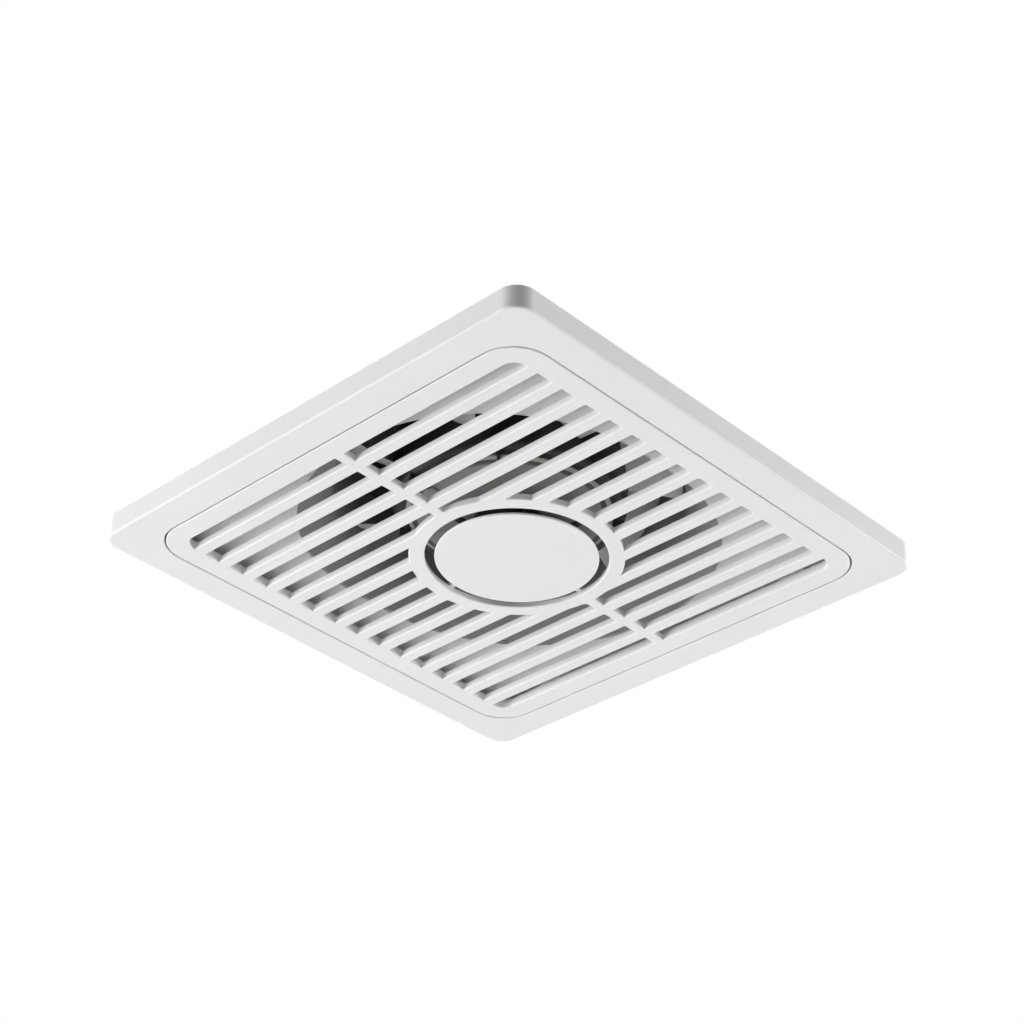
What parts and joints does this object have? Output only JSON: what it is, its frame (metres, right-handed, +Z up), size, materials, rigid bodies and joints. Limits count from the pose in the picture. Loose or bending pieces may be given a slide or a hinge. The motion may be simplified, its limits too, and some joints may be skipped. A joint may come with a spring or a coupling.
{
  "type": "ceiling bathroom exhaust fan",
  "caption": "Square ceiling exhaust fan: slatted pull-out grille with a centre disc in a flat frame, axial impeller, motor, backdraft flaps and a round duct spigot.",
  "frame": {"origin": "centre of the ceiling plane, which the back of the orifice plate lies against", "axes": "+Z up into the ceiling void along the fan's axis, X along the grille's slats"},
  "size_m": [0.3, 0.3, 0.1258],
  "materials": {
    "trim_white": "smooth moulded",
    "panel_white": "smooth moulded",
    "disc_white": "smooth moulded",
    "plate_white": "fine satin",
    "shroud_grey": "fine satin",
    "impeller_grey": "satin moulded",
    "casing_grey": "fine satin",
    "zinc_steel": "zinc plated",
    "box_steel": "powder coat",
    "motor_steel": "smooth paint",
    "core_steel": "stacked sheets",
    "winding": "varnished copper",
    "black_rubber": "matte",
    "black_plastic": "fine grain",
    "block_ivory": "smooth"
  },
  "bodies": {
    "fan_body": {"trim_frame": "trim_white", "panel_clips": "zinc_steel", "orifice_plate": "plate_white", "fan_shroud": "shroud_grey", "stator_core": "core_steel", "stator_coils": "winding", "motor_case": "motor_steel", "motor_cap": "motor_steel", "lower_bearing": "zinc_steel", "upper_bearing": "zinc_steel", "motor_bracket": "zinc_steel", "rubber_mounts": "black_rubber", "bracket_screws": "zinc_steel", "motor_screws": "zinc_steel", "upper_casing": "casing_grey", "casing_screws": "zinc_steel", "flap_pin": "zinc_steel", "terminal_box": "box_steel", "terminal_cover": "box_steel", "cover_screws": "zinc_steel", "box_screws": "zinc_steel", "terminal_block": "block_ivory", "capacitor": "black_plastic", "cable_gland": "black_plastic", "motor_lead": "black_rubber", "casing_grommet": "black_rubber", "box_grommet": "black_rubber", "frame_screws": "zinc_steel", "shroud_screws": "zinc_steel"},
    "panel": {"grille_panel": "panel_white", "centre_disc": "disc_white"},
    "impeller_body": {"impeller": "impeller_grey", "impeller_nut": "zinc_steel", "motor_shaft": "zinc_steel", "rotor": "core_steel"},
    "left_leaf": {"flap_left": "casing_grey"},
    "right_leaf": {"flap_right": "casing_grey"}
  },
  "joints": [
    {"name": "impeller_spin", "type": "hinge", "parent": "fan_body", "child": "impeller_body", "pos_m": [0, 0, 0.03], "axis": [0, 0, 1], "continuous": true},
    {"name": "panel_pull", "type": "slide", "parent": "fan_body", "child": "panel", "axis": [0, 0, -1], "range_m": [0, 0.06]},
    {"name": "left_flap_swing", "type": "hinge", "parent": "fan_body", "child": "left_leaf", "pos_m": [0, 0, 0.099], "axis": [0, 1, 0], "range_deg": [0, 75]},
    {"name": "right_flap_swing", "type": "hinge", "parent": "fan_body", "child": "right_leaf", "pos_m": [0, 0, 0.099], "axis": [0, -1, 0], "range_deg": [0, 75]}
  ]
}
